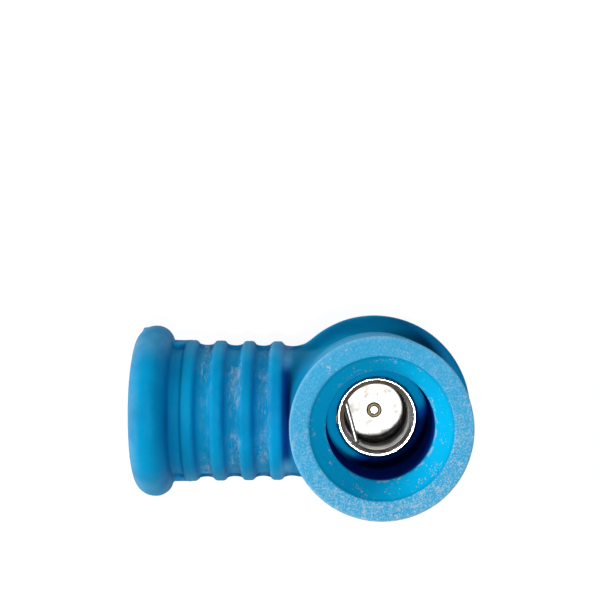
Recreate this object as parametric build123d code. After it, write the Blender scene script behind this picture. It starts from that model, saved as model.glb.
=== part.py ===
from build123d import *
import math
import os

# A right-angle spark plug cap. Millimetres, +Z up. The plug's axis is Z and its open end faces
# up; the ignition lead's axis points along -X. The origin is the centre of the closed boss.

# Driving dimensions of the rubber boot
HEIGHT = 28.3            # closed face to open end
NECK_Z = 8.85            # height of the lead's axis, and of the mould's parting plane
BOSS_R = 7.7
BOSS_HEIGHT = 2.7
FLANGE_R = 9.85
FLANGE_TOP = NECK_Z + 0.7
HEAD_BASE_R = 8.2        # head wall where it leaves the flange
HEAD_MOUTH_R = 8.3       # head wall at the open end
MOUTH_R = 6.5            # wide end of the conical mouth
MOUTH_DEPTH = 3.0
PLUG_BORE_R = 5.0        # seals on the plug's insulator

# Driving dimensions of the neck, as distances from the plug's axis and radii about the lead's
NECK_END = 24.6
NECK_R = 6.4             # floor of the valleys between the ribs
NECK_TAPER = 0.015       # how much each millimetre towards the lead adds to these radii
RIB_FIRST = 10.0
RIB_PITCH = 2.93
RIB_COUNT = 4
RIB_R = 7.15
RIB_BASE_WIDTH = 1.7
RIB_TOP_WIDTH = 1.05
WEB_R = 6.85             # parting-line web that joins the ribs
WEB_THICKNESS = 1.5
FLARE_R = 8.8
BEAD_WIDTH = 3.95
LEAD_R = 3.5             # grips a 7 mm ignition lead
LEAD_GRIP_LENGTH = 6.6
LEAD_RELIEF_R = 3.7

# Driving dimensions of the metal terminal
CUP_R = 3.97
CUP_BORE_R = 3.3         # takes a 6.35 mm terminal nut
CUP_RIM_Z = 16.5
CUP_FLOOR_Z = 7.9
CUP_FLOOR = 0.8
CUP_RIM_WIDTH = 0.36
LIP_TOP_Z = CUP_RIM_Z + 0.05     # rubber lip that holds the cup over the clip
LIP_THICKNESS = 1.0
WIRE_R = 0.25
WIRE_Z = CUP_RIM_Z - 1.8
WIRE_AZIMUTH = 195.2     # direction in which the clip's straight chord lies from the cup's axis
CHORD_OFFSET = 2.6       # cup's axis to the centre of the chord
CLIP_TRAVEL = 0.9        # outward spread of the chord as the terminal nut passes
GROOVE_DEPTH = 0.15      # outside, where the clip's legs lie
INNER_GROOVE_DEPTH = 0.22
STRIP_THICKNESS = 0.5
STRIP_WIDTH = 4.0
TAB_X = -5.5             # neck side of the bracket's upright tab
RIVET_SHANK_R = 0.58
RIVET_HOLE_R = 0.42      # of the tube, and of the dimple in the head
SCREW_TIP_X = -17.6
FIT_GAP = 0.02           # between metal pieces, and between metal and rubber

LEAD_AXIS = Axis((0, 0, NECK_Z), (1, 0, 0))
CUP_BASE_Z = CUP_FLOOR_Z - CUP_FLOOR
STRIP_Z = CUP_BASE_Z - STRIP_THICKNESS
POCKET_FLOOR_Z = STRIP_Z - 0.45
LEG_R = CUP_R - GROOVE_DEPTH + WIRE_R


def turned(points, radii, axis=Axis.Z):
    """A solid of revolution from an XZ outline, with a fillet radius for each corner."""
    outline = FilletPolyline(*points, radius=radii, close=True)
    return revolve(Plane.XZ * make_face(outline), axis, 360)


def neck_turned(points, radii):
    """The same about the lead's axis, from points (distance along the neck, radius)."""
    placed = [(-along, NECK_Z + radius) for along, radius in points]
    return turned(placed, radii, LEAD_AXIS)


def head_outside():
    corners = [
        (0, 0, 0),
        (BOSS_R, 0, 0.75),
        (BOSS_R, BOSS_HEIGHT, 0.45),
        (FLANGE_R - 1.0, BOSS_HEIGHT + 0.9, 2.0),
        (FLANGE_R, NECK_Z - 1.6, 1.5),
        (FLANGE_R, FLANGE_TOP, 0.4),
        (HEAD_BASE_R, FLANGE_TOP, 0.7),
        (HEAD_MOUTH_R, HEIGHT, 0.4),
        (0, HEIGHT, 0),
    ]
    return turned([(r, z) for r, z, _ in corners], [fillet_r for _, _, fillet_r in corners])


def tapered(along, radius):
    """A neck radius that holds at the rib nearest the head, where it lies farther out."""
    return radius + NECK_TAPER * (along - RIB_FIRST)


def rib_corners(centre):
    base = RIB_BASE_WIDTH / 2
    top = RIB_TOP_WIDTH / 2
    return [
        (centre - base, tapered(centre - base, NECK_R), 0.2),
        (centre - top, tapered(centre - top, RIB_R), 0.38),
        (centre + top, tapered(centre + top, RIB_R), 0.38),
        (centre + base, tapered(centre + base, NECK_R), 0.2),
    ]


def neck_outside():
    """Ribbed taper, then a rounded bead at the lead's end."""
    corners = [(0, 0, 0), (0, tapered(0, NECK_R), 0)]
    for index in range(RIB_COUNT):
        corners += rib_corners(RIB_FIRST + index * RIB_PITCH)
    bead_root = NECK_END - BEAD_WIDTH
    corners += [
        (bead_root, tapered(bead_root, NECK_R), 0.4),
        (bead_root + 0.55, FLARE_R, 1.6),
        (NECK_END, FLARE_R, 2.0),
        (NECK_END, 0, 0),
    ]
    return neck_turned([(a, r) for a, r, _ in corners], [fillet_r for _, _, fillet_r in corners])


def parting_web():
    """The raised line that the two halves of the mould leave along both sides of the neck."""
    start = 6.5
    last_rib = RIB_FIRST + (RIB_COUNT - 1) * RIB_PITCH
    end = NECK_END - BEAD_WIDTH + 0.65
    edge = [
        (-start, tapered(start, WEB_R)),
        (-last_rib, tapered(last_rib, WEB_R)),
        (-last_rib, tapered(last_rib, RIB_R)),
        (-end, tapered(end, RIB_R)),
    ]
    outline = edge + [(x, -y) for x, y in reversed(edge)]
    face = make_face(Polyline(*outline, close=True))
    return Pos(0, 0, NECK_Z) * extrude(face, WEB_THICKNESS / 2, both=True)


def plug_cavity():
    """Conical mouth, sealing bore, lip, room for the clip to spread and pocket for the cup."""
    relief_r = LEG_R + WIRE_R + CLIP_TRAVEL - 0.15
    relief_top = LIP_TOP_Z - LIP_THICKNESS
    relief_floor = WIRE_Z - WIRE_R - 0.6
    corners = [
        (0, POCKET_FLOOR_Z, 0),
        (CUP_R + FIT_GAP, POCKET_FLOOR_Z, 0),
        (CUP_R + FIT_GAP, relief_floor, 0),
        (relief_r, relief_floor, 0.2),
        (relief_r, relief_top, 0.2),
        (CUP_R + FIT_GAP, relief_top, 0),
        (CUP_R + FIT_GAP, LIP_TOP_Z, 0),
        (PLUG_BORE_R, LIP_TOP_Z, 0),
        (PLUG_BORE_R, HEIGHT - MOUTH_DEPTH, 0),
        (MOUTH_R, HEIGHT, 0),
        (0, HEIGHT, 0),
    ]
    return turned([(r, z) for r, z, _ in corners], [fillet_r for _, _, fillet_r in corners])


def lead_cavity():
    """Grip land at the mouth of the neck, then a wider relief around the lead screw."""
    grip_start = NECK_END - 0.4 - LEAD_GRIP_LENGTH
    points = [
        (0, 0),
        (0, LEAD_RELIEF_R),
        (grip_start - 0.3, LEAD_RELIEF_R),
        (grip_start, LEAD_R),
        (NECK_END - 0.4, LEAD_R),
        (NECK_END, LEAD_R + 0.4),
        (NECK_END, 0),
    ]
    return neck_turned(points, [0] * len(points))


def make_boot():
    outside = head_outside() + neck_outside() + parting_web()
    return outside - plug_cavity() - lead_cavity()


def make_socket_cup():
    """Turned cup, with grooves at the clip's height and a sawn window for its chord."""
    body = turned(
        [
            (0, CUP_BASE_Z),
            (CUP_R - 0.3, CUP_BASE_Z),
            (CUP_R, CUP_BASE_Z + 0.3),
            (CUP_R, CUP_RIM_Z),
            (CUP_R - CUP_RIM_WIDTH, CUP_RIM_Z),
            (CUP_BORE_R, CUP_RIM_Z - 0.45),
            (CUP_BORE_R, CUP_FLOOR_Z),
            (0, CUP_FLOOR_Z),
        ],
        [0, 0, 0, 0.08, 0, 0, 0.45, 0],
    )
    groove_width = 2 * WIRE_R + 0.1
    at_wire = Pos(0, 0, WIRE_Z)
    outer_groove = Cylinder(CUP_R + 1, groove_width) - Cylinder(CUP_R - GROOVE_DEPTH, groove_width)
    inner_groove = Cylinder(CUP_BORE_R + INNER_GROOVE_DEPTH, groove_width)
    window_face = CHORD_OFFSET - WIRE_R - 0.1
    window = Pos(window_face + CUP_R / 2, 0, 0) * Box(CUP_R, 2 * CUP_R, groove_width)
    window = Rot(0, 0, WIRE_AZIMUTH) * window
    rivet_hole = Pos(0, 0, CUP_BASE_Z) * Cylinder(RIVET_SHANK_R + FIT_GAP, 4 * CUP_FLOOR)
    return body - at_wire * (outer_groove + inner_groove + window) - rivet_hole


def make_retaining_clip():
    """Round wire: a straight chord through the window, and two legs around the cup."""
    half = math.sqrt(LEG_R**2 - CHORD_OFFSET**2)
    corner_angle = math.degrees(math.atan2(half, CHORD_OFFSET))
    leg_end = 138

    def on_leg(angle):
        turn = math.radians(angle)
        return (LEG_R * math.cos(turn), LEG_R * math.sin(turn))

    tangent_start = corner_angle + 9
    bend_start = (CHORD_OFFSET, half - 0.62)
    chord = Line((CHORD_OFFSET, -half + 0.62), bend_start)
    bend = TangentArc(bend_start, on_leg(tangent_start), tangent=(0, 1))
    leg = ThreePointArc(
        on_leg(tangent_start), on_leg((tangent_start + leg_end) / 2), on_leg(leg_end)
    )
    mirrored = [mirror(edge, Plane.XZ) for edge in (bend, leg)]
    edges = [edge for curve in (chord, bend, leg, *mirrored) for edge in curve.edges()]
    path = Wire(edges)
    start = path.position_at(0)
    section = Plane(start, z_dir=path.tangent_at(0)) * Circle(WIRE_R)
    wire = sweep(section, path)
    return Pos(0, 0, WIRE_Z) * Rot(0, 0, WIRE_AZIMUTH) * wire


def make_terminal_rivet():
    """Semi-tubular rivet: dimpled head in the cup's floor, tube set under the bracket."""
    head_z = CUP_FLOOR_Z + FIT_GAP
    tail_z = STRIP_Z - FIT_GAP
    points = [
        (0, head_z - 0.4),
        (RIVET_HOLE_R, head_z - 0.4),
        (RIVET_HOLE_R, tail_z - 0.32),
        (0.95, tail_z - 0.32),
        (0.95, tail_z),
        (RIVET_SHANK_R, tail_z),
        (RIVET_SHANK_R, head_z),
        (0.8, head_z),
        (0.8, head_z + 0.34),
        (RIVET_HOLE_R, head_z + 0.34),
        (RIVET_HOLE_R, head_z + 0.1),
        (0, head_z + 0.1),
    ]
    return turned(points, [0, 0, 0, 0.15, 0, 0, 0, 0, 0.14, 0.14, 0.05, 0])


def make_terminal_bracket():
    """Strip riveted under the cup and bent up to carry the lead screw."""
    inner_x = TAB_X + STRIP_THICKNESS
    end_x = 2.7
    tab_top = 11.1
    outline = FilletPolyline(
        (end_x, STRIP_Z),
        (TAB_X, STRIP_Z),
        (TAB_X, tab_top),
        (inner_x, tab_top),
        (inner_x, STRIP_Z + STRIP_THICKNESS - FIT_GAP),
        (end_x, STRIP_Z + STRIP_THICKNESS - FIT_GAP),
        radius=[0, 0.75, 0, 0, 0.25, 0],
        close=True,
    )
    strip = extrude(Plane.XZ * make_face(outline), STRIP_WIDTH / 2, both=True)
    rivet_hole = Pos(0, 0, STRIP_Z) * Cylinder(RIVET_SHANK_R + FIT_GAP, 4 * STRIP_THICKNESS)
    screw_hole = Pos(TAB_X, 0, NECK_Z) * Rot(0, 90, 0) * Cylinder(0.9 + FIT_GAP, 4 * STRIP_THICKNESS)
    return strip - rivet_hole - screw_hole


def make_lead_screw():
    """Pointed screw with a flat head behind the tab and a swaged collar in front of it."""
    shank_r = 0.9
    thread_r = 1.45
    pitch = 1.15
    head_back = -TAB_X - STRIP_THICKNESS - FIT_GAP
    collar_start = -TAB_X + FIT_GAP
    thread_start = collar_start + 0.75
    taper_start = -SCREW_TIP_X - 3.6
    points = [
        (head_back - 0.7, 0),
        (head_back - 0.7, 1.3),
        (head_back, 1.3),
        (head_back, shank_r),
        (collar_start, shank_r),
        (collar_start, 1.3),
        (collar_start + 0.4, 1.3),
        (collar_start + 0.4, shank_r),
        (thread_start, shank_r),
    ]
    along = thread_start
    while along + pitch < -SCREW_TIP_X - 0.3:
        share = max(0.0, (along + pitch / 2 - taper_start) / (-SCREW_TIP_X - taper_start))
        crest = thread_r * (1 - share) + 0.3 * share
        root = shank_r * (1 - share) + 0.1 * share
        points += [(along + pitch / 2, crest), (along + pitch, root)]
        along += pitch
    points += [(-SCREW_TIP_X, 0)]
    return neck_turned(points, [0] * len(points))


NODES = {
    "boot": make_boot,
    "socket_cup": make_socket_cup,
    "retaining_clip": make_retaining_clip,
    "terminal_rivet": make_terminal_rivet,
    "terminal_bracket": make_terminal_bracket,
    "lead_screw": make_lead_screw,
}

os.makedirs("parts", exist_ok=True)
for node, make in NODES.items():
    export_step(make(), f"parts/{node}.step")
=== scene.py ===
import math

import bmesh
import bpy
import numpy as np
from mathutils import Matrix, Vector


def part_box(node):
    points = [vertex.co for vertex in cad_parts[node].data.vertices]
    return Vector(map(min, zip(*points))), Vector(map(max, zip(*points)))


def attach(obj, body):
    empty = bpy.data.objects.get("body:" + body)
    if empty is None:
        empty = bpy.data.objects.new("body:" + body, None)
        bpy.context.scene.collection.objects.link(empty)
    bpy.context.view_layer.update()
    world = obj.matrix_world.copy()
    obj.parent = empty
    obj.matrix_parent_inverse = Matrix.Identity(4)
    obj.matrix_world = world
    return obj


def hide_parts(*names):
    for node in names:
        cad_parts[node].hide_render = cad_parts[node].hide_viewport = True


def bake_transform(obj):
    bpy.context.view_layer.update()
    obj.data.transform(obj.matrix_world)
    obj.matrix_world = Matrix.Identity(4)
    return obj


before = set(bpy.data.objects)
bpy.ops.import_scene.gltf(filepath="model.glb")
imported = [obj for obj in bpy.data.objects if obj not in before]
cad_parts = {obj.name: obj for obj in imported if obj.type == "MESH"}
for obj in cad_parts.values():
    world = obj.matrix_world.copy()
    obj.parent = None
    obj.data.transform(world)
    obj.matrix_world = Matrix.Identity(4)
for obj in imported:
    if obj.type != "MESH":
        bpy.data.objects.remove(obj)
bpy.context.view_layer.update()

# A right-angle spark plug cap, in millimetres until each mesh is scaled to metres.
# +Z up, the plug's axis is Z, the neck for the ignition lead points along -X.
MM = 0.001


def cad_box_mm(node):
    """The lowest and highest corner of a CAD node, in millimetres."""
    low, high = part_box(node)
    return low / MM, high / MM


BOOT_LOW, BOOT_HIGH = cad_box_mm("boot")
CUP_LOW, CUP_HIGH = cad_box_mm("socket_cup")
CLIP_LOW, CLIP_HIGH = cad_box_mm("retaining_clip")
SCREW_LOW, SCREW_HIGH = cad_box_mm("lead_screw")

HEIGHT = BOOT_HIGH.z
FLANGE_R = BOOT_HIGH.x
NECK_END = -BOOT_LOW.x
NECK_Z = (SCREW_LOW.z + SCREW_HIGH.z) / 2
CUP_R = CUP_HIGH.x
CUP_RIM_Z = CUP_HIGH.z
CUP_BASE_Z = CUP_LOW.z
STRIP_BASE_Z = cad_box_mm("terminal_bracket")[0].z
RIVET_BASE_Z = cad_box_mm("terminal_rivet")[0].z
WIRE_Z = (CLIP_LOW.z + CLIP_HIGH.z) / 2
WIRE_R = (CLIP_HIGH.z - CLIP_LOW.z) / 2


# ---------------------------------------------------------------- outlines

def rounded(corners, steps=8):
    """A closed outline from (x, y, fillet radius) corners, with each fillet as an arc."""
    outline = []
    count = len(corners)
    for index, (x, y, radius) in enumerate(corners):
        here = np.array((x, y), float)
        before = np.array(corners[index - 1][:2], float) - here
        after = np.array(corners[(index + 1) % count][:2], float) - here
        before /= np.linalg.norm(before)
        after /= np.linalg.norm(after)
        half = math.acos(float(np.clip(before @ after, -1, 1))) / 2
        if radius <= 0 or half > 1.56:
            outline.append(here)
            continue
        reach = radius / math.tan(half)
        centre = here + (before + after) / np.linalg.norm(before + after) * radius / math.sin(half)
        start = here + before * reach - centre
        end = here + after * reach - centre
        turn = math.atan2(start[0] * end[1] - start[1] * end[0], float(start @ end))
        for step in range(steps + 1):
            angle = turn * step / steps
            c, s = math.cos(angle), math.sin(angle)
            outline.append(centre + np.array((c * start[0] - s * start[1], s * start[0] + c * start[1])))
    return np.array(outline)


class Profile:
    """Signed distance to a closed outline, negative inside, read from a fine grid."""

    def __init__(self, outline, margin=3.0, spacing=0.05):
        self.low = outline.min(0) - margin
        self.spacing = spacing
        size = np.ceil((outline.max(0) + margin - self.low) / spacing).astype(int) + 1
        xs = self.low[0] + spacing * np.arange(size[0])
        ys = self.low[1] + spacing * np.arange(size[1])
        px, py = np.meshgrid(xs, ys, indexing="ij")
        best = np.full(px.shape, 1e9)
        inside = np.zeros(px.shape, bool)
        for (ax, ay), (bx, by) in zip(outline, np.roll(outline, -1, 0)):
            dx, dy = bx - ax, by - ay
            along = np.clip(((px - ax) * dx + (py - ay) * dy) / max(dx * dx + dy * dy, 1e-12), 0, 1)
            best = np.minimum(best, (px - ax - along * dx) ** 2 + (py - ay - along * dy) ** 2)
            if ay != by:
                crosses = ((ay > py) != (by > py)) & (px < (py - ay) / (by - ay) * dx + ax)
                inside ^= crosses
        self.grid = np.where(inside, -1.0, 1.0) * np.sqrt(best)

    def __call__(self, x, y):
        gx = np.clip((x - self.low[0]) / self.spacing, 0, self.grid.shape[0] - 1.001)
        gy = np.clip((y - self.low[1]) / self.spacing, 0, self.grid.shape[1] - 1.001)
        ix, iy = gx.astype(int), gy.astype(int)
        fx, fy = gx - ix, gy - iy
        g = self.grid
        return (
            g[ix, iy] * (1 - fx) * (1 - fy)
            + g[ix + 1, iy] * fx * (1 - fy)
            + g[ix, iy + 1] * (1 - fx) * fy
            + g[ix + 1, iy + 1] * fx * fy
        )


def soft_min(a, b, reach):
    """The union of two distances, with a fillet of about that reach where they meet."""
    share = np.clip(0.5 + 0.5 * (b - a) / reach, 0, 1)
    return b * (1 - share) + a * share - reach * share * (1 - share)


def soft_max(a, b, reach):
    """The overlap of two distances, with a fillet of about that reach where they meet."""
    return -soft_min(-a, -b, reach)


# ---------------------------------------------------------------- the boot's shape

BOSS_R = 7.7
BOSS_HEIGHT = 2.7
HEAD_BASE_R = 8.2
HEAD_MOUTH_R = 8.3
MOUTH_R = 6.5
MOUTH_DEPTH = 3.0
PLUG_BORE_R = 5.0
NECK_R = 6.4
NECK_TAPER = 0.015
RIB_FIRST = 10.0
RIB_PITCH = 2.93
RIB_COUNT = 4
RIB_R = 7.15
RIB_HALF = 0.85          # half a rib's width at its root, and then at its top
RIB_TOP_HALF = 0.52
FLARE_R = 8.8            # the bulbous bead that flares at the end of the neck
BEAD_WIDTH = 3.95
WEB_R = 6.9              # the web beside the ribs, half its height, and its dips between them
WEB_HALF = 0.72
WEB_DIP = 0.22
LEAD_R = 3.5
LEAD_RELIEF_R = 3.7
LEAD_GRIP = 6.6
CUP_FIT_GAP = 0.02
BORE_LOW_Z = 5.0         # the plug's bore and the pocket under it lie above this
BELOW_AXIS = -1.0        # outlines run past their axis, so that nothing closes on it


def head_profile():
    """The head from its closed face to its mouth, as (radius, height)."""
    flange_top = NECK_Z + 0.7
    return Profile(rounded([
        (BELOW_AXIS, 0, 0),
        (BOSS_R, 0, 0.75),
        (BOSS_R, BOSS_HEIGHT, 0.45),
        (FLANGE_R - 1.0, BOSS_HEIGHT + 0.9, 2.0),
        (FLANGE_R, NECK_Z - 1.6, 1.5),
        (FLANGE_R, flange_top, 0.4),
        (HEAD_BASE_R, flange_top, 0.7),
        (HEAD_MOUTH_R, HEIGHT, 0.18),
        (BELOW_AXIS, HEIGHT, 0),
    ]))


def tapered(along, radius):
    """The neck's radius at that place, from the one at the rib nearest the head."""
    return radius + NECK_TAPER * (along - RIB_FIRST)


def neck_profile():
    """The neck with its ribs and its flared bead, as (place along the lead, radius)."""
    corners = [(0, BELOW_AXIS, 0), (0, tapered(0, NECK_R), 0)]
    for index in range(RIB_COUNT):
        centre = RIB_FIRST + index * RIB_PITCH
        corners += [
            (centre - RIB_HALF, tapered(centre, NECK_R), 0.2),
            (centre - RIB_TOP_HALF, tapered(centre, RIB_R), 0.36),
            (centre + RIB_TOP_HALF, tapered(centre, RIB_R), 0.36),
            (centre + RIB_HALF, tapered(centre, NECK_R), 0.2),
        ]
    bead_root = NECK_END - BEAD_WIDTH
    corners += [
        (bead_root, tapered(bead_root, NECK_R), 0.4),
        (bead_root + 0.55, FLARE_R, 1.6),
        (NECK_END, FLARE_R, 2.0),
        (NECK_END, BELOW_AXIS, 0),
    ]
    return Profile(rounded(corners))


def plug_cavity_profile():
    """The cup's pocket, the room round the clip, the lip, the plug's bore and the conical mouth."""
    fit_r = CUP_R + CUP_FIT_GAP
    relief_r = 5.07
    lip_top = CUP_RIM_Z
    relief_top = lip_top - 0.95
    relief_floor = WIRE_Z - WIRE_R - 0.6
    pocket_floor = STRIP_BASE_Z - 0.45
    return Profile(rounded([
        (BELOW_AXIS, pocket_floor, 0),
        (fit_r, pocket_floor, 0.1),
        (fit_r, relief_floor, 0),
        (relief_r, relief_floor, 0.2),
        (relief_r, relief_top, 0.2),
        (fit_r, relief_top, 0),
        (fit_r, lip_top, 0.15),
        (PLUG_BORE_R, lip_top, 0.15),
        (PLUG_BORE_R, HEIGHT - MOUTH_DEPTH, 0.5),
        (MOUTH_R, HEIGHT, 0),
        (MOUTH_R + 1.0, HEIGHT + 1.2, 0),
        (BELOW_AXIS, HEIGHT + 1.2, 0),
    ]))


def lead_cavity_profile():
    """The lead's bore, with a grip near its open end and more room beyond it."""
    grip_end = NECK_END - 0.4
    grip_start = grip_end - LEAD_GRIP
    return Profile(rounded([
        (0, BELOW_AXIS, 0),
        (0, LEAD_RELIEF_R, 0),
        (grip_start - 0.3, LEAD_RELIEF_R, 0),
        (grip_start, LEAD_R, 0),
        (grip_end, LEAD_R, 0.3),
        (NECK_END + 1, LEAD_R + 1.4, 0),
        (NECK_END + 1, BELOW_AXIS, 0),
    ]))


HEAD = head_profile()
NECK = neck_profile()
PLUG_CAVITY = plug_cavity_profile()
LEAD_CAVITY = lead_cavity_profile()


def web_distance(p):
    """The parting-line web along both sides of the neck, scalloped between the ribs."""
    along = -p[:, 0]
    last_rib = RIB_FIRST + (RIB_COUNT - 1) * RIB_PITCH
    from_rib = (along - RIB_FIRST) / RIB_PITCH
    scallop = 0.5 - 0.5 * np.cos(2 * math.pi * from_rib)
    top = tapered(along, np.where(along > last_rib, RIB_R, WEB_R - WEB_DIP * scallop))
    dy = np.abs(p[:, 1]) - top
    dz = np.abs(p[:, 2] - NECK_Z) - WEB_HALF
    web_start, web_end = 6.5, NECK_END - BEAD_WIDTH + 0.65
    dx = np.maximum(web_start - along, along - web_end)
    outside = np.sqrt(np.maximum(dy, 0) ** 2 + np.maximum(dz, 0) ** 2 + np.maximum(dx, 0) ** 2)
    return outside + np.minimum(np.maximum(np.maximum(dy, dz), dx), 0)


def boot_distance(p):
    """Signed distance to the whole boot, for points in rows."""
    around_plug = np.hypot(p[:, 0], p[:, 1])
    around_lead = np.hypot(p[:, 1], p[:, 2] - NECK_Z)
    outside = soft_min(HEAD(around_plug, p[:, 2]), NECK(-p[:, 0], around_lead), 1.3)
    outside = soft_min(outside, web_distance(p), 0.12)
    cavity = np.minimum(PLUG_CAVITY(around_plug, p[:, 2]), LEAD_CAVITY(-p[:, 0], around_lead))
    return soft_max(outside, -cavity, 0.18)


def project(points, distance, rounds=6, step=0.02):
    """Moves each point onto the surface where the distance is zero, and gives its normal."""
    p = points.copy()
    for _ in range(rounds):
        here = distance(p)
        slope = np.empty_like(p)
        for axis in range(3):
            ahead = p.copy()
            ahead[:, axis] += step
            behind = p.copy()
            behind[:, axis] -= step
            slope[:, axis] = (distance(ahead) - distance(behind)) / (2 * step)
        size = np.maximum(np.linalg.norm(slope, axis=1), 0.3)
        move = (-here / size)[:, None] * slope / size[:, None]
        length = np.linalg.norm(move, axis=1)
        move *= np.minimum(1, 0.4 / np.maximum(length, 1e-9))[:, None]
        p += move
    return p, slope / np.maximum(np.linalg.norm(slope, axis=1), 1e-9)[:, None]


def positions(mesh):
    """The mesh's vertices in millimetres, in rows."""
    flat = np.empty(len(mesh.vertices) * 3, np.float32)
    mesh.vertices.foreach_get("co", flat)
    return flat.reshape(-1, 3).astype(float) / MM


def set_positions(mesh, points):
    """Moves the mesh's vertices to those places in millimetres."""
    mesh.vertices.foreach_set("co", (points * MM).astype(np.float32).ravel())
    mesh.update()


def add_object(name, mesh):
    obj = bpy.data.objects.new(name, mesh)
    bpy.context.scene.collection.objects.link(obj)
    return obj


def applied(obj):
    """Applies the object's modifiers and returns it."""
    depsgraph = bpy.context.evaluated_depsgraph_get()
    mesh = bpy.data.meshes.new_from_object(obj.evaluated_get(depsgraph))
    obj.modifiers.clear()
    obj.data = mesh
    return obj


def value_noise(points, size, seed):
    """Smooth noise from -1 to 1, with features of about that size."""
    cell = points / size + 1000.0 + seed * 17.3
    low = np.floor(cell).astype(np.int64)
    part = cell - low
    part = part * part * (3 - 2 * part)
    total = np.zeros(len(points))
    for corner in range(8):
        offset = np.array((corner & 1, corner >> 1 & 1, corner >> 2 & 1))
        key = (low + offset) @ np.array((73856093, 19349663, 83492791)) + seed * 2654435761
        key = (key ^ (key >> 13)) * 1274126177 & 0x7FFFFFFF
        value = ((key ^ (key >> 16)) & 0xFFFF) / 32767.5 - 1
        total += value * np.prod(np.where(offset == 1, part, 1 - part), axis=1)
    return total


def rough_noise(points, size, seed):
    """Three octaves of the smooth noise, from -1 to 1."""
    total = sum(value_noise(points, size / 2**k, seed + k) / 2**k for k in range(3))
    return total / 1.75


def ramp(values, low, high):
    """0 below low, 1 above high, smooth between them."""
    share = np.clip((values - low) / (high - low), 0, 1)
    return share * share * (3 - 2 * share)


def band(values, start, full, fade, end):
    """1 between full and fade, 0 before start and after end."""
    return ramp(values, start, full) * (1 - ramp(values, fade, end))


def set_attribute(mesh, name, values):
    """Stores one number per vertex, for the materials to read."""
    attribute = mesh.attributes.new(name, "FLOAT", "POINT")
    attribute.data.foreach_set("value", values.astype(np.float32))


def on_outside(p):
    """1 on the boot's outer skin, 0 in its cavities."""
    around_plug = np.hypot(p[:, 0], p[:, 1])
    around_lead = np.hypot(p[:, 1], p[:, 2] - NECK_Z)
    cavity = np.minimum(PLUG_CAVITY(around_plug, p[:, 2]), LEAD_CAVITY(-p[:, 0], around_lead))
    return ramp(cavity, 0.15, 0.5)


def flash_height(p):
    """The thin irregular flash where the mould's halves met, and the bits torn along it."""
    near = np.exp(-(((p[:, 2] - NECK_Z) / 0.17) ** 2))
    uneven = 0.45 + 0.55 * rough_noise(p, 2.2, 41)
    nibs = ramp(value_noise(p, 0.8, 52), 0.35, 0.75)
    on_neck = ramp(-p[:, 0], 8.8, 9.4)
    return near * on_neck * (0.06 * np.clip(uneven, 0.1, 1) + 0.2 * nibs) * on_outside(p)


def ring_mark_height(p):
    """The small round mark that an ejector pin leaves, sunk in the closed face."""
    mark_x, mark_y, mark_r, line_width, depth = -0.25, 0.3, 1.05, 0.16, 0.11
    from_mark = np.hypot(p[:, 0] - mark_x, p[:, 1] - mark_y)
    circle = np.exp(-(((from_mark - mark_r) / line_width) ** 2))
    return -depth * circle * (1 - ramp(p[:, 2], 0.3, 0.6))


def moulding_height(p):
    """How far the moulded skin stands off its drawn shape."""
    uneven = 0.035 * rough_noise(p, 7.0, 3) + 0.014 * rough_noise(p, 1.6, 9)
    low_face = 1 - ramp(p[:, 2], 0.25, 0.9)
    return uneven * (1 - low_face) + flash_height(p) + ring_mark_height(p)


def around_axes(p):
    """Distances from the plug's axis, from the lead's axis, and along the neck."""
    return np.hypot(p[:, 0], p[:, 1]), np.hypot(p[:, 1], p[:, 2] - NECK_Z), -p[:, 0]


def mouth_share(p):
    """1 in the conical mouth, 0 in the bore below it and on the ring round it."""
    around_plug, _, _ = around_axes(p)
    in_cone = ramp(p[:, 2], HEIGHT - MOUTH_DEPTH - 0.35, HEIGHT - MOUTH_DEPTH + 0.1)
    return in_cone * (1 - ramp(around_plug, MOUTH_R - 0.3, MOUTH_R + 0.1))


def neck_skin(around_lead):
    """1 on the neck's outer skin, 0 inside its bore."""
    return ramp(around_lead, 5.5, 6.0)


def valley_place(along):
    """Where a point lies in its valley: 0 at the rib on the head's side, 1 at the next rib."""
    in_pitch = ((along - RIB_FIRST) / RIB_PITCH) % 1.0 * RIB_PITCH
    return (in_pitch - RIB_HALF) / (RIB_PITCH - 2 * RIB_HALF)


def dust_share(p):
    """Where pale dust lies: one side of each valley between the ribs, and the head's rim."""
    around_plug, around_lead, along = around_axes(p)
    on_neck = band(along, 10.0, 10.8, 18.2, 19.2) * neck_skin(around_lead)
    place = valley_place(along)
    settled = ramp(place, -0.5, 0.0) * (1 - 0.9 * ramp(place, 0.45, 0.9))
    low = 1 - ramp(around_lead, RIB_R - 0.15, RIB_R + 0.1)
    patches = ramp(rough_noise(p, 3.0, 21), -0.15, 0.45)
    rim = ramp(p[:, 2], HEIGHT - 1.6, HEIGHT - 0.5) * ramp(around_plug, MOUTH_R + 1.2, MOUTH_R + 1.5)
    return np.clip(on_neck * low * settled * (0.05 + 0.65 * patches) + 0.12 * rim + 0.01, 0, 1)


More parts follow.
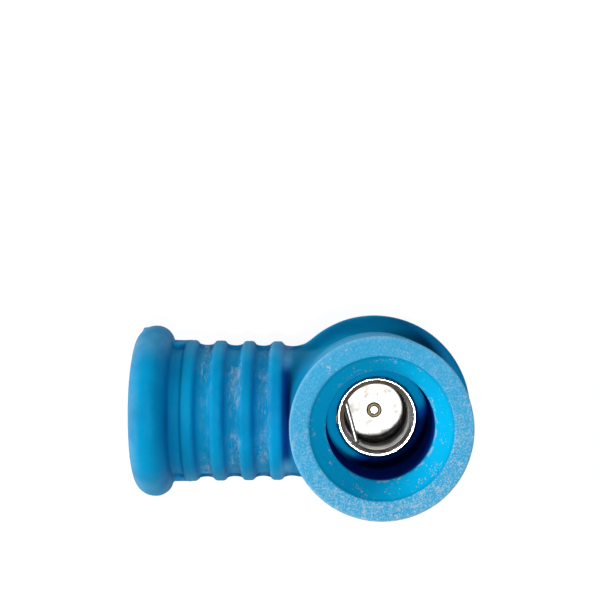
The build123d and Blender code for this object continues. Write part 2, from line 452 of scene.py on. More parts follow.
def film_and_sheen_share(p):
    """Where an even pale film lies, partly left by rubbing and partly painted sheen: the ribs' sides,
    the sides of the neck's root, the end of the flared bead and the edge of the head's rim."""
    around_plug, around_lead, along = around_axes(p)
    rim = ramp(p[:, 2], HEIGHT - 0.9, HEIGHT - 0.2)
    rim *= ramp(around_plug, HEAD_MOUTH_R - 0.3, HEAD_MOUTH_R - 0.05)
    sides = ramp(np.abs(p[:, 1]), 5.2, 7.4) * ramp(along, 8.6, 9.2) * ramp(around_lead, 6.85, 7.05)
    corner = ramp(np.abs(p[:, 1]), 4.2, 5.5) * band(along, 8.2, 8.8, 9.2, 9.8)
    bead_end = ramp(along, NECK_END - 1.5, NECK_END - 0.2) * ramp(around_lead, 4.0, 5.0)
    patches = 0.7 + 0.3 * rough_noise(p, 3.5, 33)
    return np.clip((0.28 * sides + 0.45 * corner + 0.4 * bead_end + 0.6 * rim) * patches, 0, 1)


def bore_shade(p):
    """Painted shade down the plug's bore and inside the neck, and a painted shadow on one side
    of the lip round the cup.
    """
    around_plug, around_lead, along = around_axes(p)
    in_bore = (1 - ramp(around_plug, PLUG_BORE_R + 0.3, PLUG_BORE_R + 0.8)) * (p[:, 2] > BORE_LOW_Z)
    # Painted shade, deeper down the bore's wall.
    wall = 0.8 * ramp(HEIGHT - MOUTH_DEPTH - p[:, 2], -0.2, 1.5)
    on_lip = ramp(CUP_RIM_Z + 0.6 - p[:, 2], 0, 0.4) * (p[:, 2] > CUP_RIM_Z - 0.3)
    # Painted shadow on the lip, on its +X, -Y side only.
    lip = ramp(0.6 * p[:, 0] - 0.8 * p[:, 1], 0.8, 3.2)
    plug = in_bore * (wall * (1 - on_lip) + 1.15 * lip * on_lip)
    # Painted shade inside the neck's bore.
    lead = (1 - ramp(around_lead, 3.9, 4.3)) * ramp(NECK_END - along, 1, 4) * ramp(along, 2, 4)
    return np.maximum(plug, lead)


def crease_shade(p):
    """Painted shade at the neck's root, on one side of each valley, beside the bead and on the web."""
    _, around_lead, along = around_axes(p)
    off_middle, from_end, skin = np.abs(p[:, 1]), along - NECK_END, neck_skin(around_lead)
    root = band(along, 8.3, 8.7, 9.1, 9.6) * (1 - ramp(off_middle, 3.9, 5.5))
    crease = band(valley_place(along), 0.62, 0.98, 1.1, 1.5) * skin
    crease *= ramp(along, RIB_FIRST, RIB_FIRST + 0.1) * (1 - ramp(from_end, -6.5, -6.0))
    bead_side = band(from_end, -5.0, -4.1, -3.6, -2.4) * skin
    web = ramp(off_middle, 5.9, 6.3) * (1 - ramp(around_lead, 6.95, 7.1))
    web *= ramp(along, 7.0, 8.5) * (1 - ramp(from_end, -4.6, -4.0))
    web *= np.exp(-(((p[:, 2] - NECK_Z - 0.7) / 0.6) ** 2))
    return np.maximum.reduce([0.95 * root, 0.28 * crease, 0.3 * bead_side, 0.5 * web])


def ledge_shade(p):
    """A painted shadow along one side of the flange's top edge."""
    around_plug, _, _ = around_axes(p)
    side = 0.7 * p[:, 0] + 0.72 * p[:, 1]
    ledge = ramp(around_plug, HEAD_BASE_R - 0.3, HEAD_BASE_R + 0.2) * ramp(side, 7.2, 8.8)
    return 0.45 * ledge * np.exp(-(((p[:, 2] - NECK_Z - 0.2) / 1.1) ** 2))


def shade_share(p):
    """How much painted shade darkens the rubber: 0 in the open, more than 1 only on the lip
    round the cup.
    """
    return np.clip(np.maximum.reduce([bore_shade(p), crease_shade(p), ledge_shade(p)]), 0, 1.2)


def in_bores(p):
    """Whether each point is in the bore below the conical mouth, or inside the neck."""
    around_plug, around_lead, along = around_axes(p)
    plug = (around_plug < PLUG_BORE_R + 0.4) & (p[:, 2] > BORE_LOW_Z)
    plug &= p[:, 2] < HEIGHT - MOUTH_DEPTH - 0.1
    lead = (around_lead < 4.2) & (along > 3) & (along < NECK_END - 0.3)
    return plug | lead


def refine_ring_edges(mesh, cuts):
    """Cuts up the faces along the two sharp edges of the ring."""
    shape = bmesh.new()
    shape.from_mesh(mesh)
    near = []
    for edge in shape.edges:
        middle = (edge.verts[0].co + edge.verts[1].co) / 2 / MM
        around = math.hypot(middle.x, middle.y)
        off_edge = min(abs(around - MOUTH_R), abs(around - HEAD_MOUTH_R))
        if middle.z > HEIGHT - 0.4 and off_edge < 0.25:
            near.append(edge)
    bmesh.ops.subdivide_edges(shape, edges=near, cuts=cuts, use_grid_fill=True)
    shape.to_mesh(mesh)
    shape.free()


def make_boot():
    """Small even faces over the CAD boot, moved onto the filleted and slightly uneven surface."""
    obj = add_object("boot_moulding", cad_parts["boot"].data.copy())
    remesh = obj.modifiers.new("remesh", "REMESH")
    remesh.mode = "VOXEL"
    remesh.voxel_size = 0.255 * MM
    applied(obj)
    set_positions(obj.data, project(positions(obj.data), boot_distance)[0])
    refine_ring_edges(obj.data, 3)
    smooth, normals = project(positions(obj.data), boot_distance)
    points = smooth + normals * moulding_height(smooth)[:, None]
    set_positions(obj.data, np.clip(points, np.array(BOOT_LOW), np.array(BOOT_HIGH)))
    # The mouth share also carries a painted lighter blue, the film share is partly painted sheen, and
    # the shade share is painted shade.
    shares = {"mouth": mouth_share, "dust": dust_share, "film": film_and_sheen_share, "shade": shade_share}
    for name, share in shares.items():
        set_attribute(obj.data, name, share(smooth))
    obj.data.materials.clear()
    for material in (boot_rubber(), bore_rubber()):
        obj.data.materials.append(material)
    inside = in_bores(smooth)
    for face in obj.data.polygons:
        face.material_index = int(all(inside[v] for v in face.vertices))
    obj.data.polygons.foreach_set("use_smooth", [True] * len(obj.data.polygons))
    return obj


# ---------------------------------------------------------------- metal pieces

CUP_BORE_R = 3.3
CUP_FLOOR_Z = CUP_BASE_Z + 0.8
CUP_RIM_WIDTH = 0.27
INNER_GROOVE_R = CUP_BORE_R + 0.22
OUTER_GROOVE_R = CUP_R - 0.15
GROOVE_HALF = WIRE_R + 0.05
WIRE_AZIMUTH = math.radians(195.2)
CHORD_OFFSET = 2.6
LEG_R = OUTER_GROOVE_R + WIRE_R


def subdivided(outline, longest=0.25):
    """The outline with its long sides cut up, so that smooth shading stays local."""
    fine = []
    for here, there in zip(outline, np.roll(outline, -1, 0)):
        count = max(1, math.ceil(float(np.linalg.norm(there - here)) / longest))
        fine += [here + (there - here) * k / count for k in range(count)]
    return np.array(fine)


def closed_mesh(name, verts, faces, weld=0.0):
    """A closed mesh with its faces turned outwards, and doubles within that reach welded."""
    mesh = bpy.data.meshes.new(name)
    mesh.from_pydata(verts, [], faces)
    shape = bmesh.new()
    shape.from_mesh(mesh)
    if weld:
        bmesh.ops.remove_doubles(shape, verts=shape.verts, dist=weld)
    bmesh.ops.recalc_face_normals(shape, faces=shape.faces)
    shape.to_mesh(mesh)
    shape.free()
    return mesh


def ring_faces(rings, sides):
    """Quads between neighbouring rings of that many vertices."""
    faces = []
    for r in range(rings - 1):
        here, there = r * sides, (r + 1) * sides
        for s in range(sides):
            n = (s + 1) % sides
            faces.append((here + s, here + n, there + n, there + s))
    return faces


def turned_mesh(name, outline, segments):
    """A closed solid of revolution about Z, from an outline of (radius, height)."""
    count = len(outline)
    angles = 2 * math.pi * np.arange(segments) / segments
    verts = [
        (r * math.cos(a) * MM, r * math.sin(a) * MM, z * MM) for a in angles for r, z in outline
    ]
    faces = []
    for s in range(segments):
        for k in range(count):
            a, b = s * count, (s + 1) % segments * count
            n = (k + 1) % count
            faces.append((a + k, b + k, b + n, a + n))
    return closed_mesh(name, verts, faces, weld=1e-7)


def cut_away(obj, cutter):
    """Cuts the cutter's shape out of the object, and deletes the cutter."""
    boolean = obj.modifiers.new("cut", "BOOLEAN")
    boolean.operation = "DIFFERENCE"
    boolean.object = cutter
    boolean.solver = "EXACT"
    applied(obj)
    bpy.data.objects.remove(cutter)


def box_object(name, low, high, turn):
    """A box between two corners in millimetres, then turned about Z."""
    shape = bmesh.new()
    bmesh.ops.create_cube(shape, size=1)
    size, middle = Vector(high) - Vector(low), (Vector(high) + Vector(low)) / 2
    for vert in shape.verts:
        vert.co = Vector((vert.co.x * size.x, vert.co.y * size.y, vert.co.z * size.z)) + middle
    bmesh.ops.scale(shape, vec=(MM, MM, MM), verts=shape.verts)
    bmesh.ops.rotate(shape, matrix=Matrix.Rotation(turn, 3, "Z"), verts=shape.verts)
    mesh = bpy.data.meshes.new(name)
    shape.to_mesh(mesh)
    shape.free()
    return add_object(name, mesh)


def sharpen(mesh, angle=35):
    """Smooth shading, broken at edges sharper than the angle."""
    mesh.polygons.foreach_set("use_smooth", [True] * len(mesh.polygons))
    mesh.set_sharp_from_angle(angle=math.radians(angle))


def cup_outline():
    """The cup's wall and floor, grooved inside and out at the wire, as (radius, height)."""
    return subdivided(rounded([
        (0, CUP_BASE_Z, 0),
        (CUP_R, CUP_BASE_Z, 0.35),
        (CUP_R, WIRE_Z - GROOVE_HALF, 0.03),
        (OUTER_GROOVE_R, WIRE_Z - GROOVE_HALF, 0.05),
        (OUTER_GROOVE_R, WIRE_Z + GROOVE_HALF, 0.05),
        (CUP_R, WIRE_Z + GROOVE_HALF, 0.03),
        (CUP_R, CUP_RIM_Z, 0.12),
        (CUP_R - CUP_RIM_WIDTH, CUP_RIM_Z, 0.06),
        (CUP_BORE_R, CUP_RIM_Z - 0.5, 0.08),
        (CUP_BORE_R, WIRE_Z + GROOVE_HALF, 0.03),
        (INNER_GROOVE_R, WIRE_Z + GROOVE_HALF, 0.05),
        (INNER_GROOVE_R, WIRE_Z - GROOVE_HALF, 0.05),
        (CUP_BORE_R, WIRE_Z - GROOVE_HALF, 0.03),
        (CUP_BORE_R, CUP_FLOOR_Z, 0.4),
        (0, CUP_FLOOR_Z, 0),
    ], steps=6))


def dented(p):
    """The cup with small dents in its rim, drawn in so that they stay inside the CAD cup."""
    drawn_in = 0.06
    around = np.hypot(p[:, 0], p[:, 1])
    dents = 0.03 * rough_noise(p, 2.4, 71) * ramp(p[:, 2], CUP_RIM_Z - 1.2, CUP_RIM_Z)
    dents += 0.035 * rough_noise(p, 0.5, 72) * ramp(p[:, 2], CUP_RIM_Z - 0.25, CUP_RIM_Z)
    outward = p * np.array((1, 1, 0)) / np.maximum(around, 1)[:, None]
    return p + outward * (dents - drawn_in)[:, None] * (around > 2)[:, None]


def make_cup():
    """Drawn cup with a window where the wire's chord crosses its wall, and a dented rim."""
    segments = 144
    obj = add_object("terminal_cup", turned_mesh("terminal_cup", cup_outline(), segments))
    inner = CHORD_OFFSET - WIRE_R - 0.1
    window_low = (inner, -CUP_R, WIRE_Z - GROOVE_HALF)
    window_high = (CUP_R + 1, CUP_R, WIRE_Z + GROOVE_HALF)
    cut_away(obj, box_object("window", window_low, window_high, WIRE_AZIMUTH))
    set_positions(obj.data, dented(positions(obj.data)))
    sharpen(obj.data)
    return obj


def clip_route():
    """Half of the wire's centre line, from the middle of its chord to the end of a leg."""
    half = math.sqrt(LEG_R**2 - CHORD_OFFSET**2)
    bend_start = half - 0.62
    leg_start = math.atan2(half, CHORD_OFFSET) + math.radians(9)
    leg_end = math.radians(138)
    route = [np.array((CHORD_OFFSET, bend_start * k / 8)) for k in range(9)]
    first = route[-1]
    last = LEG_R * np.array((math.cos(leg_start), math.sin(leg_start)))
    corner = np.array((CHORD_OFFSET, half + 0.12))
    for k in range(1, 10):
        t = k / 10
        route.append(first * (1 - t) ** 2 + corner * 2 * t * (1 - t) + last * t * t)
    for k in range(40):
        angle = leg_start + (leg_end - leg_start) * k / 39
        route.append(LEG_R * np.array((math.cos(angle), math.sin(angle))))
    return route


def swept_wire(name, route, radius, sides=20):
    """A round wire along a flat route at the clip's height, with rounded ends."""
    route = np.array(route)
    tangent = np.gradient(route, axis=0)
    tangent /= np.linalg.norm(tangent, axis=1)[:, None]
    rings = []
    places = [(0, -1, k) for k in (3, 2, 1)]
    places += [(index, 0, 0) for index in range(len(route))]
    places += [(len(route) - 1, 1, k) for k in (1, 2, 3)]
    for index, side, k in places:
        slope = math.radians(26 * k)
        swell = math.cos(slope)
        centre = route[index] + tangent[index] * side * radius * math.sin(slope)
        across = np.array((-tangent[index][1], tangent[index][0]))
        ring = []
        for s in range(sides):
            turn = 2 * math.pi * s / sides
            flat = centre + across * radius * swell * math.cos(turn)
            ring.append((flat[0], flat[1], WIRE_Z + radius * swell * math.sin(turn)))
        rings.append(ring)
    turn = Matrix.Rotation(WIRE_AZIMUTH, 3, "Z")
    verts = [turn @ Vector(v) * MM for ring in rings for v in ring]
    faces = ring_faces(len(rings), sides)
    faces += [tuple(range(sides))[::-1], tuple((len(rings) - 1) * sides + s for s in range(sides))]
    mesh = closed_mesh(name, verts, faces)
    sharpen(mesh, 60)
    return mesh


def make_clip():
    """The snap wire, a hair thinner than its CAD wire so that it stays inside it."""
    half = clip_route()
    mirrored = [point * np.array((1, -1)) for point in half[:0:-1]]
    return add_object("snap_wire", swept_wire("snap_wire", mirrored + half, WIRE_R - 0.004))


def make_rivet():
    """Semi-tubular rivet with a dimpled head, slightly six-sided where the tool closed it."""
    hole, shank, head, tail, gap = 0.42, 0.57, 0.8, 0.94, 0.01
    base_z, tail_z, head_z = RIVET_BASE_Z + gap, STRIP_BASE_Z - gap, CUP_FLOOR_Z + gap
    outline = subdivided(rounded([
        (0, head_z - 0.4, 0),
        (hole, head_z - 0.4, 0),
        (hole, base_z, 0),
        (tail, base_z, 0.15),
        (tail, tail_z, 0),
        (shank, tail_z, 0),
        (shank, head_z, 0),
        (head, head_z, 0.05),
        (head, head_z + 0.33, 0.17),
        (hole, head_z + 0.33, 0.15),
        (hole, head_z + 0.1, 0.08),
        (0, head_z + 0.1, 0),
    ], steps=7), 0.12)
    obj = add_object("eyelet", turned_mesh("eyelet", outline, 96))
    points = positions(obj.data)
    turn = np.arctan2(points[:, 1], points[:, 0])
    closed = ramp(points[:, 2], head_z, head_z + 0.3)
    squeeze = 1 - 0.05 * closed * (0.5 + 0.5 * np.cos(6 * turn + 0.4))
    points[:, :2] *= squeeze[:, None]
    set_positions(obj.data, points)
    sharpen(obj.data, 50)
    return obj


def collar_stations(start, width, radius, bevel, inner, outer):
    """(along, radius) of a bevelled collar between two radii, along the screw."""
    end = start + width
    return [
        (start, inner),
        (start, radius - bevel),
        (start + bevel, radius),
        (end - bevel, radius),
        (end, radius - bevel),
        (end, outer),
    ]


def thread_stations(start, tip, shank, turns):
    """(along, radii round the axis) of a helical thread that runs out to a point."""
    crest_r, pitch, taper_start = 1.43, 1.15, tip - 3.6
    count = 260
    stations = []
    for k in range(count + 1):
        along = start + (tip - start) * k / count
        share = max(0.0, (along - taper_start) / (tip - taper_start))
        root = shank * (1 - share)
        crest = crest_r * (1 - share) + 0.1 * share * (k < count)
        phase = (along / pitch - turns) % 1.0
        ridge = np.clip(1 - np.abs(phase - 0.5) * 2.6, 0, 1) * min(1.0, (along - start) / 0.6)
        stations.append((along, root + (crest - root) * ridge))
    return stations


def make_screw():
    """Pointed screw with a flat head, a collar and a true thread, along the lead's axis."""
    shank, disc_r, collar_start, sides = 0.9, 1.3, 5.52, 48
    discs = collar_stations(-SCREW_HIGH.x, 0.7, disc_r, 0.08, 0.0, shank)
    discs += collar_stations(collar_start, 0.4, disc_r, 0.05, shank, shank)
    turns = np.arange(sides) / sides
    grid = [(along, np.full(sides, radius)) for along, radius in discs]
    grid += thread_stations(collar_start + 0.75, -SCREW_LOW.x, shank, turns)
    verts = []
    for along, radii in grid:
        for turn, radius in zip(turns, radii):
            angle = 2 * math.pi * turn
            place = Vector((-along, radius * math.cos(angle), NECK_Z + radius * math.sin(angle)))
            verts.append(place * MM)
    mesh = closed_mesh("spike_screw", verts, ring_faces(len(grid), sides), weld=2e-7)
    sharpen(mesh, 40)
    return add_object("spike_screw", mesh)


# ---------------------------------------------------------------- materials

class Nodes:
    """A short way to write a material's node tree."""

    def __init__(self, name):
        self.material = bpy.data.materials.new(name)
        self.material.use_nodes = True
        self.tree = self.material.node_tree
        self.shader = self.tree.nodes["Principled BSDF"]
        self.place = self.add("ShaderNodeTexCoord").outputs["Object"]

    def add(self, kind, **settings):
        node = self.tree.nodes.new(kind)
        for key, value in settings.items():
            setattr(node, key, value)
        return node

    def feed(self, socket, value):
        """Links another node's output to the socket, or sets the socket to a plain value."""
        if hasattr(value, "is_output"):
            self.tree.links.new(value, socket)
        else:
            socket.default_value = value

    def noise(self, size_mm, detail=3.0, roughness=0.55, stretch=(1, 1, 1), distortion=0.0):
        """Noise from 0 to 1 with features of about that size, stretched along the axes."""
        mapping = self.add("ShaderNodeMapping")
        self.feed(mapping.inputs["Vector"], self.place)
        mapping.inputs["Scale"].default_value = [1 / (size_mm * MM) / s for s in stretch]
        node = self.add("ShaderNodeTexNoise")
        self.feed(node.inputs["Vector"], mapping.outputs["Vector"])
        node.inputs["Scale"].default_value = 1
        node.inputs["Detail"].default_value = detail
        node.inputs["Roughness"].default_value = roughness
        node.inputs["Distortion"].default_value = distortion
        return node.outputs["Fac"]

    def attribute(self, name):
        return self.add("ShaderNodeAttribute", attribute_name=name).outputs["Fac"]

    def math(self, operation, a, b=0.0, clamp=False):
        node = self.add("ShaderNodeMath", operation=operation, use_clamp=clamp)
        self.feed(node.inputs[0], a)
        self.feed(node.inputs[1], b)
        return node.outputs[0]

    def times(self, a, b):
        return self.math("MULTIPLY", a, b)

    def plus(self, a, b, clamp=False):
        return self.math("ADD", a, b, clamp)

    def ramp(self, value, low, high, low_out=0.0, high_out=1.0):
        """low_out below low, high_out above high, smooth between them."""
        node = self.add("ShaderNodeMapRange", interpolation_type="SMOOTHSTEP")
        for key, part in (("Value", value), ("From Min", low), ("From Max", high)):
            self.feed(node.inputs[key], part)
        self.feed(node.inputs["To Min"], low_out)
        self.feed(node.inputs["To Max"], high_out)
        return node.outputs["Result"]

    def mix(self, share, a, b):
        """Colour a where the share is 0, b where it is 1."""
        node = self.add("ShaderNodeMix", data_type="RGBA")
        self.feed(node.inputs["Factor"], share)
        for socket, value in ((node.inputs[6], a), (node.inputs[7], b)):
            self.feed(socket, (*value, 1) if isinstance(value, tuple) else value)
        return node.outputs[2]

    def bump(self, layers):
        """Bump from (height, depth in millimetres) layers."""
        normal = None
        for height, depth in layers:
            node = self.add("ShaderNodeBump")
            node.inputs["Distance"].default_value = depth * MM
            self.feed(node.inputs["Height"], height)
            if normal is not None:
                self.feed(node.inputs["Normal"], normal)
            normal = node.outputs["Normal"]
        self.feed(self.shader.inputs["Normal"], normal)

    def set(self, **values):
        """Feeds the shader's inputs, by their names or the short ones below."""
        names = {"specular": "Specular IOR Level"}
        for key, value in values.items():
            socket = names.get(key, key.replace("_", " ").title())
            self.feed(self.shader.inputs[socket], value)


def plug_place(n):
    """Distance from the plug's axis, height, and how far a point lies towards -Y and a little +X."""
    parts = n.add("ShaderNodeSeparateXYZ")
    n.feed(parts.inputs[0], n.place)
    x, y, z = parts.outputs
    around = n.math("SQRT", n.plus(n.times(x, x), n.times(y, y)))
    toward_minus_y = n.plus(n.times(x, 0.4 / MM), n.times(y, -0.9 / MM))
    return around, z, toward_minus_y


def rubber_blue(n):
    """The colour of clean rubber, a little uneven."""
    tone = n.noise(5.0, 3)
    return n.mix(n.ramp(tone, 0.3, 0.7), (0.0004, 0.26, 0.53), (0.0005, 0.33, 0.64))


def neck_dust(n, dust):
    """Dust in the valleys, as streaks over a thin film."""
    streaks = n.ramp(n.noise(0.5, 4, 0.75, (0.5, 2.2, 1.4), 0.6), 0.5, 0.66, 0, 0.7)
    film = n.ramp(n.noise(1.5, 4, 0.65), 0.4, 0.75, 0.0, 0.4)
    return n.times(dust, n.plus(streaks, film))


def edge_scuff(n, around, toward_minus_y, mouth):
    """A broken pale line where the conical mouth meets the bore."""
    line = n.ramp(around, (PLUG_BORE_R + 0.24) * MM, (PLUG_BORE_R + 0.12) * MM)
    line = n.times(line, n.ramp(n.noise(0.6, 3), 0.48, 0.6, 0, 0.75))
    line = n.times(line, n.ramp(toward_minus_y, -2.0, 1.5, 0.05, 0.6))
    return n.times(line, n.ramp(mouth, 0.3, 0.8))


def rubbed_film_and_sheen(n):
    """The even pale film, partly painted sheen, a little patchy."""
    return n.times(n.attribute("film"), n.ramp(n.noise(2.5, 4, 0.6), 0.25, 0.75, 0.2, 0.55))


def clustered_flecks(n, share):
    """Small pale flecks in clusters, where the share lets them through."""
    clusters = n.ramp(n.noise(1.9, 3, 0.6), 0.5, 0.64, -0.1, 0.0)
    fine = n.noise(0.26, 3, 0.75, (0.8, 1.2, 1), 0.8)
    return n.times(share, n.ramp(n.plus(fine, clusters), 0.57, 0.61, 0, 1.0))


def ring_grit(n, ring, speckle, toward_minus_y):
    """Pale grit on the ring, thicker towards -Y."""
    cloud = n.ramp(n.noise(0.9, 4, 0.7), 0.4, 0.75, -0.25, 0.45)
    one_sided = n.ramp(n.plus(toward_minus_y, n.times(n.noise(2.5, 3), 12)), -1, 15, 0.1, 0.8)
    grains = n.plus(n.ramp(speckle, 0.46, 0.63), cloud, True)
    return n.times(ring, n.times(grains, one_sided))


def boot_rubber():
    """Moulded blue rubber with a bloomed ring round its mouth, pale dust, scuffs and a fine grain. The
    conical mouth is painted a lighter blue as painted light, creases and hollows are darkened by
    painted shade, and the pale film is partly painted sheen.
    """
    n = Nodes("blue_rubber")
    around, height, toward_minus_y = plug_place(n)
    off_mouth = n.ramp(around, (MOUTH_R - 0.02) * MM, (MOUTH_R + 0.04) * MM)
    ring = n.times(off_mouth, n.ramp(height, (HEIGHT - 0.25) * MM, (HEIGHT - 0.14) * MM))
    dust, mouth = n.attribute("dust"), n.attribute("mouth")
    speckle = n.noise(0.15, 4, 0.75)
    # Painted light: the conical mouth is a lighter blue, for the light that falls into it.
    blue = n.mix(mouth, rubber_blue(n), (0.0006, 0.55, 0.93))
    # Painted shade: where the shade share is high, the rubber turns a dark navy.
    blue = n.mix(n.attribute("shade"), blue, (0.0003, 0.03, 0.22))
    bloom = n.times(ring, n.ramp(speckle, 0.3, 0.7, 0.35, 0.8))
    blue = n.mix(bloom, blue, (0.085, 0.52, 0.86))
    flecked = n.plus(n.plus(dust, mouth), n.times(ring, 0.5), True)
    cover = n.plus(neck_dust(n, dust), edge_scuff(n, around, toward_minus_y, mouth))
    cover = n.plus(n.plus(cover, rubbed_film_and_sheen(n)), clustered_flecks(n, flecked))
    cover = n.plus(cover, ring_grit(n, ring, speckle, toward_minus_y), True)
    n.set(
        base_color=n.mix(cover, blue, (0.58, 0.7, 0.8)),
        specular=0.03,
        roughness=n.plus(0.55, n.times(cover, 0.35), True),
    )
    n.bump([
        (n.noise(1.1, 3), 0.03),
        (n.noise(0.2, 3, 0.6), 0.01),
        (cover, 0.012),
    ])
    return n.material


def bore_rubber():
    """The same rubber inside the bore and the neck: clean and dull, and darkened by painted shade,
    navy down the walls and nearly black on one side of the lip.
    """
    n = Nodes("bore_rubber")
    shade = n.attribute("shade")
    # Painted shade: navy on the bore's wall and in the neck.
    blue = n.mix(n.ramp(shade, 0, 0.8), rubber_blue(n), (0.0003, 0.045, 0.32))
    # Painted shadow: nearly black on the lip's shadowed side.
    blue = n.mix(n.ramp(shade, 0.8, 1.1), blue, (0.0003, 0.012, 0.1))
    n.set(base_color=blue, specular=0.0, roughness=0.8)
    n.bump([(n.noise(0.8, 3), 0.03)])
    return n.material


def nickel():
    """Bright nickel plate, smooth on the walls and satin on the floor, with painted shade in dark
    brown where they meet, and tarnished brown on the rim's bevel, the tarnish fading towards -Y
    as painted light."""
    n = Nodes("nickel_plate")
    around, height, toward_minus_y = plug_place(n)
    floor = n.ramp(height, (CUP_FLOOR_Z + 0.02) * MM, (CUP_FLOOR_Z + 0.12) * MM, 1, 0)
    stain = n.noise(1.8, 4, 0.6)
    polished = n.mix(n.ramp(stain, 0.5, 0.8), (0.92, 0.91, 0.88), (0.7, 0.67, 0.6))
    satin = n.mix(n.ramp(stain, 0.35, 0.7), (0.6, 0.59, 0.57), (0.36, 0.345, 0.32))
    colour = n.mix(floor, polished, satin)
    # Painted shade: dark brown in the corner where the wall meets the floor.
    corner = n.ramp(height, (CUP_FLOOR_Z + 2.6) * MM, (CUP_FLOOR_Z + 0.6) * MM)
    corner = n.times(corner, n.ramp(around, 2.95 * MM, 3.1 * MM, 0, 0.9))
    colour = n.mix(corner, colour, (0.09, 0.06, 0.03))
    edge = CUP_R - CUP_RIM_WIDTH
    bevel = n.ramp(height, (CUP_RIM_Z - 0.8) * MM, (CUP_RIM_Z - 0.65) * MM)
    bevel = n.times(bevel, n.ramp(around, (edge + 0.03) * MM, (edge - 0.01) * MM))
    # Painted light: the bevel's tarnish fades towards -Y, where that side is lit.
    bevel = n.times(bevel, n.ramp(toward_minus_y, -2.5, 3.0, 0.95, 0.15))
    brown = n.mix(n.ramp(n.noise(0.4, 3), 0.35, 0.65), (0.3, 0.21, 0.13), (0.15, 0.1, 0.05))
    colour = n.mix(bevel, colour, brown)
    wall = n.ramp(n.noise(0.5, 4, 0.6), 0.3, 0.75, 0.05, 0.13)
    dull = n.times(floor, n.ramp(stain, 0.4, 0.7, 0.38, 0.46))
    rough = n.plus(n.plus(wall, dull), n.times(bevel, 0.3))
    metallic = n.math("SUBTRACT", 1.0, n.times(bevel, 0.75))
    n.set(base_color=colour, metallic=metallic, roughness=rough)
    n.bump([
        (n.noise(0.12, 2, 0.5, (6, 6, 0.6)), 0.0015),
        (n.noise(0.45, 3, 0.6), 0.004),
    ])
    return n.material


def rivet_nickel():
    """A tarnished brown crown round a bright dimple."""
    n = Nodes("rivet_nickel")
    around, _, _ = plug_place(n)
    tarnish = n.mix(n.noise(0.4, 3), (0.3, 0.24, 0.14), (0.17, 0.125, 0.065))
    crown = n.ramp(around, 0.4 * MM, 0.48 * MM)
    rough = n.plus(n.ramp(n.noise(0.3, 3), 0.3, 0.7, 0.35, 0.45), n.times(crown, 0.12))
    n.set(base_color=n.mix(crown, (0.8, 0.78, 0.72), tarnish), metallic=1.0, roughness=rough)
    n.bump([(n.noise(0.2, 3), 0.004)])
    return n.material


def bare_metal(name, light, dark, mottle, rough_mm, rough, grain=(0.2, 3), depth=0.004):
    """Metal mottled between two tones, with an uneven roughness and a fine grain."""
    n = Nodes(name)
    roughness = n.ramp(n.noise(rough_mm, 3), 0.3, 0.7, *rough)
    n.set(base_color=n.mix(n.noise(*mottle), light, dark), metallic=1.0, roughness=roughness)
    n.bump([(n.noise(*grain), depth)])
    return n.material


def spring_wire():
    light, dark = (0.85, 0.84, 0.8), (0.66, 0.64, 0.58)
    return bare_metal("spring_wire", light, dark, (0.6, 3), 0.3, (0.38, 0.46), (0.1, 3, 0.5), 0.003)


def brass_strip():
    return bare_metal("brass_strip", (0.62, 0.46, 0.22), (0.4, 0.27, 0.12), (1.5, 4), 0.6, (0.3, 0.5))


def plated_steel():
    return bare_metal("plated_steel", (0.6, 0.6, 0.58), (0.42, 0.4, 0.36), (1.2, 4), 0.5, (0.25, 0.45))


def paint(obj, material):
    obj.data.materials.clear()
    obj.data.materials.append(material)


def add_piece(obj, node, material=None, body="cap"):
    """Rides the piece on its body in place of its CAD node, in the given finish."""
    if material:
        paint(obj, material)
    if body:
        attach(obj, body)
    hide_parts(node)


add_piece(make_boot(), "boot")
add_piece(make_cup(), "socket_cup", nickel())
add_piece(make_rivet(), "terminal_rivet", rivet_nickel())
add_piece(make_screw(), "lead_screw", plated_steel())
paint(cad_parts["terminal_bracket"], brass_strip())

clip = make_clip()
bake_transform(clip)
add_piece(clip, "retaining_clip", spring_wire(), body=None)


# ---------------------------------------------------------------- floor, light and camera

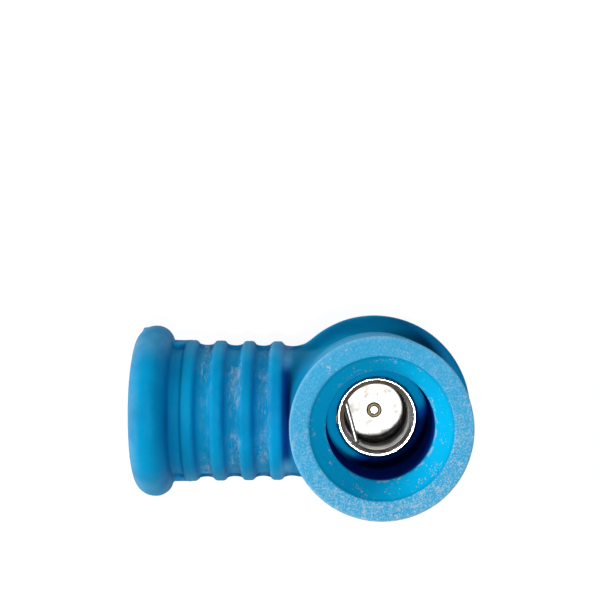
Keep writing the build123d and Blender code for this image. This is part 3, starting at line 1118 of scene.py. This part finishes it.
def make_floor():
    """One large white sheet under the cap."""
    n = Nodes("pale_floor")
    grey = n.mix(n.noise(40, 2), (0.14, 0.14, 0.14), (0.12, 0.12, 0.12))
    n.set(base_color=grey, roughness=0.8, specular=0.0)
    n.shader.inputs["Emission Color"].default_value = (1, 1, 1, 1)
    n.shader.inputs["Emission Strength"].default_value = 0.93
    mesh = bpy.data.meshes.new("floor")
    half = 1.5
    corners = [(-half, -half, 0), (half, -half, 0), (half, half, 0), (-half, half, 0)]
    mesh.from_pydata(corners, [], [(0, 1, 2, 3)])
    floor = add_object("floor", mesh)
    floor.location.z = -0.02 * MM
    floor.data.materials.append(n.material)


def area_light(name, place, target, size, strength):
    """A square light that gives a facing white surface that radiance at the target."""
    data = bpy.data.lights.new(name, "AREA")
    data.size = size
    lamp = bpy.data.objects.new(name, data)
    bpy.context.scene.collection.objects.link(lamp)
    lamp.location = place
    reach = Vector(target) - Vector(place)
    data.energy = strength * (math.pi * reach.length) ** 2
    lamp.rotation_euler = reach.to_track_quat("-Z", "Y").to_euler()


def make_light():
    """A faint white world, a soft lamp low on the left and a small one nearly overhead."""
    world = bpy.data.worlds.new("studio")
    bpy.context.scene.world = world
    world.use_nodes = True
    world.node_tree.nodes["Background"].inputs["Color"].default_value = (1, 1, 1, 1)
    world.node_tree.nodes["Background"].inputs["Strength"].default_value = 0.07
    target = (-0.008, 0, 0.015)
    area_light("left", (-0.55, 0.06, 0.27), target, 0.2, 0.65)
    area_light("overhead", (0.023, -0.056, 0.6), target, 0.03, 0.6)


# In millimetres. The camera looks almost straight down from a little behind the cap.
CAMERA_HEIGHT = 140.0    # above the lead's axis
CAMERA_X = -4.8
CAMERA_Y = 11.9
AIM_X = -7.7
AIM_Y = 11.45
VIEW_WIDTH = 62.176      # what the picture takes in at the lead's axis


def make_camera():
    """A camera that looks down, with +X to the picture's right and +Y to its top."""
    data = bpy.data.cameras.new("camera")
    data.lens = CAMERA_HEIGHT * data.sensor_width / VIEW_WIDTH
    camera = bpy.data.objects.new("camera", data)
    bpy.context.scene.collection.objects.link(camera)
    place = Vector((CAMERA_X, CAMERA_Y, NECK_Z + CAMERA_HEIGHT)) * MM
    aim = Vector((AIM_X, AIM_Y, NECK_Z)) * MM
    back = (place - aim).normalized()
    right = Vector((0, 1, 0)).cross(back).normalized()
    turned = Matrix((right, back.cross(right), back)).transposed()
    camera.matrix_world = Matrix.Translation(place) @ turned.to_4x4()
    data.clip_start = 0.005
    data.clip_end = 10
    bpy.context.scene.camera = camera


make_floor()
make_light()
make_camera()
bpy.context.scene.view_settings.view_transform = "Standard"
